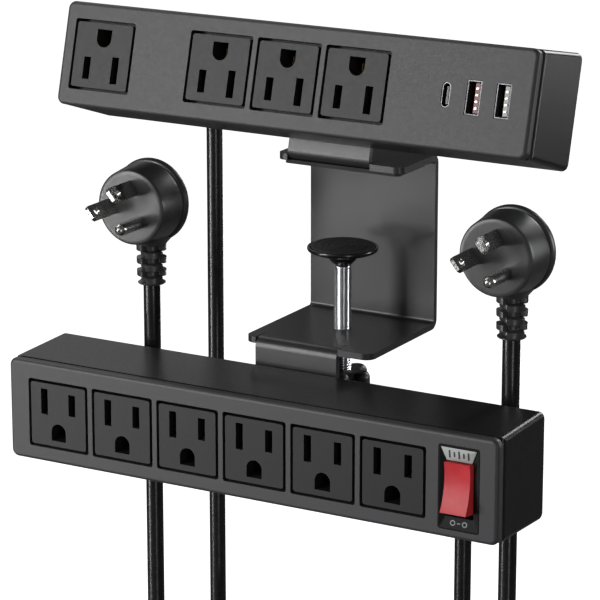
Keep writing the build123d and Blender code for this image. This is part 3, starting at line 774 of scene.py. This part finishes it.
SWITCH_X = 90.0
SWITCH_Y = -0.6
RECESS_MOUTH = (15.6, 31.0)
RECESS_FLOOR = (11.2, 21.0)
RECESS_DEPTH = 0.8
FLOOR_DROP = 0.7  # the recess floor's middle is this far below the mouth's
PLATE_THICKNESS = 0.35
TICK_SPACING = 1.9
RING_SPACING = 4.8


def slope_frame(up):
    """The middle of the slope above the rocker (up=1) or below it (up=-1), with Y up the slope."""
    mouth = Vector((SWITCH_X, SWITCH_Y + up * RECESS_MOUTH[1] / 2, 0))
    floor = Vector((SWITCH_X, SWITCH_Y - FLOOR_DROP + up * RECESS_FLOOR[1] / 2, -RECESS_DEPTH))
    rise = (mouth - floor).normalized() * up
    right = Vector((1, 0, 0))
    out = right.cross(rise)
    turned = Matrix((right, rise, out)).transposed().to_4x4()
    return lower_bar @ Matrix.Translation((mouth + floor) / 2 * MM) @ turned, (mouth - floor).length


def add_switch_marks():
    """A pale plate with generic ticks above the rocker, and two rings and a bar below it."""
    above, slope = slope_frame(1)
    plate_width = RECESS_MOUTH[0] - 1.2
    taper = (RECESS_FLOOR[0] - 1.0) / plate_width
    plate = (plate_width, slope - 0.7, PLATE_THICKNESS)
    block("label_plate", above, plate, "label", "frame", taper)
    for number, x in enumerate((-2 * TICK_SPACING, -TICK_SPACING, 0.0, TICK_SPACING, 2 * TICK_SPACING)):
        name = f"label_tick_{number + 1}"
        spot = above @ Matrix.Translation(Vector((x, 0.1, PLATE_THICKNESS - 0.05)) * MM)
        tick = (0.7, 3.0 if number % 2 == 0 else 2.0, 0.1)
        block(name, spot, tick, "mark", "frame", edge=0.05)
    below = slope_frame(-1)[0]
    for number, x in enumerate((-RING_SPACING / 2, RING_SPACING / 2)):
        spot = below @ Matrix.Translation(Vector((x, 0.0, 0.0)) * MM)
        name = f"off_sign_{number + 1}"
        ring_mark(name, spot, 0.85, 0.4, 0.12, "pale_mark", "frame")
    block("off_bar", below, (1.2, 0.4, 0.12), "pale_mark", "frame", edge=0.05)


PORTS_X = (76.8, 88.6)
CONTACTS_Y = (-3.6, -1.2, 1.2, 3.6)
TONGUE_SHIFT = 0.95  # from the port's middle to the tongue's
TONGUE_HALF = 0.9  # half its thickness
CONTACT_MIDDLE = -5.2  # along the bar's Z, as is the next
CONTACT_FRONT = -1.25
CONTACT_SIZE = (6.4, 1.1, 0.25)
CONTACT_END_SIZE = (1.3, 0.9, 0.25)


def add_usb_contacts():
    """Sprung gold contacts on the tongues in the ports, with their folded ends at the front."""
    to_left = Matrix((Vector((0, 0, 1)), Vector((0, 1, 0)), Vector((-1, 0, 0)))).transposed().to_4x4()
    for port, x in enumerate(PORTS_X, 1):
        tongue = x + TONGUE_SHIFT
        for number, y in enumerate(CONTACTS_Y, 1):
            place = Vector((tongue - TONGUE_HALF, y, CONTACT_MIDDLE)) * MM
            side = upper_bar @ Matrix.Translation(place) @ to_left
            name = f"usb_a_{port}_contact_{number}"
            block(name, side, CONTACT_SIZE, "gold", "frame", edge=0.06)
            front = upper_bar @ Matrix.Translation(Vector((tongue, y, CONTACT_FRONT)) * MM)
            name = f"usb_a_{port}_contact_end_{number}"
            block(name, front, CONTACT_END_SIZE, "contact_end", "frame", edge=0.1)


# ---------------------------------------------------------------- floor and light
FLOOR_BELOW = 0.73  # a desk's height


def for_camera(made, seen, otherwise):
    """A grey level that differs between what the camera sees directly and what lights the object."""
    direct = made.add("ShaderNodeLightPath").outputs["Is Camera Ray"]
    return made.ranged(direct, otherwise, seen, 0.0, 1.0)


def add_floor():
    """A pale floor that curves up into a backdrop far behind."""
    low = -FLOOR_BELOW
    half_width, front, back, bend, tall = 9.0, -6.0, 5.0, 2.0, 6.0
    outline = [(front, low), (back, low)]
    for step in range(1, 13):
        angle = math.radians(90 * step / 12)
        outline.append((back + bend * math.sin(angle), low + bend * (1 - math.cos(angle))))
    outline.append((back + bend, low + tall))
    points = [(side * half_width, y, z) for y, z in outline for side in (-1, 1)]
    faces = [(2 * i, 2 * i + 1, 2 * i + 3, 2 * i + 2) for i in range(len(outline) - 1)]
    mesh = bpy.data.meshes.new("floor")
    mesh.from_pydata(points, [], faces)
    mesh.shade_smooth()
    made = Nodes("floor_paper")
    colour = made.mixed(for_camera(made, 0.9, 0.12), (0.0, 0.0, 0.0), (1.0, 1.0, 1.0))
    made.shader.inputs["Emission Color"].default_value = (1, 1, 1, 1)
    made.tree.links.new(for_camera(made, 1.0, 0.0), made.shader.inputs["Emission Strength"])
    rough = made.ranged(made.noise(0.05, 2), 0.85, 0.95)
    mesh.materials.append(made.finish(colour, rough, made.bumped(made.noise(0.01, 2), 0.0002, 0.2)))
    floor = bpy.data.objects.new("floor", mesh)
    bpy.context.scene.collection.objects.link(floor)


LIT_MIDDLE = Vector((0.0, -0.03, -0.03))  # what the soft boxes face


def add_soft_box(name, azimuth, elevation, distance, size, power):
    """A soft box that faces the object. Azimuth 0 is in front of it and 90 on its right."""
    turn, climb = math.radians(azimuth), math.radians(elevation)
    away = Vector((math.sin(turn) * math.cos(climb), -math.cos(turn) * math.cos(climb), math.sin(climb)))
    data = bpy.data.lights.new(name, "AREA")
    data.shape = "RECTANGLE"
    data.size, data.size_y = size
    data.energy = power
    light = bpy.data.objects.new(name, data)
    bpy.context.scene.collection.objects.link(light)
    light.location = LIT_MIDDLE + away * distance
    light.rotation_euler = (-away).to_track_quat("-Z", "Y").to_euler()
    light.visible_camera = False


def add_lights():
    """Soft boxes in front, above and behind, in a dim room."""
    world = bpy.data.worlds.new("room")
    bpy.context.scene.world = world
    world.use_nodes = True
    tree = world.node_tree
    background = tree.nodes["Background"]
    background.inputs["Color"].default_value = (1.0, 1.0, 1.0, 1)
    direct = tree.nodes.new("ShaderNodeLightPath").outputs["Is Camera Ray"]
    strength = tree.nodes.new("ShaderNodeMapRange")
    strength.inputs["To Min"].default_value = 0.1
    strength.inputs["To Max"].default_value = 1.0
    tree.links.new(direct, strength.inputs["Value"])
    tree.links.new(strength.outputs["Result"], background.inputs["Strength"])
    add_soft_box("front_left_box", -32, 9, 1.5, (0.32, 0.95), 15)
    add_soft_box("front_edge_strip", -46, -14, 1.4, (0.12, 0.5), 5)
    add_soft_box("front_fill_box", -12, 26, 1.7, (1.1, 0.5), 4)
    add_soft_box("front_right_strip", 48, -6, 1.4, (0.14, 0.9), 2.5)
    add_soft_box("back_left_box", 222, 17, 0.9, (0.3, 0.25), 0.15)
    add_soft_box("back_box", 170, 22, 1.4, (0.4, 0.5), 6)
    add_soft_box("back_right_box", 122, 8, 1.2, (0.2, 0.5), 5)
    add_soft_box("back_end_box", 156, -4, 1.4, (0.12, 0.14), 0.42)
    add_soft_box("back_low_box", 192, -12, 1.5, (0.5, 0.4), 4)
    add_soft_box("back_fill_box", 250, 45, 1.8, (1.3, 1.0), 9)
    bpy.context.scene.view_settings.view_transform = "Standard"
    bpy.context.scene.view_settings.look = "None"


add_camera()
dress_cad_nodes()
add_side("upper", UPPER_DROP, upper_coil, UPPER_RISE)
add_side("lower", LOWER_DROP, lower_coil, LOWER_RISE)
add_clamp_screw()
add_foot()
add_switch_marks()
add_usb_contacts()
add_floor()
add_lights()
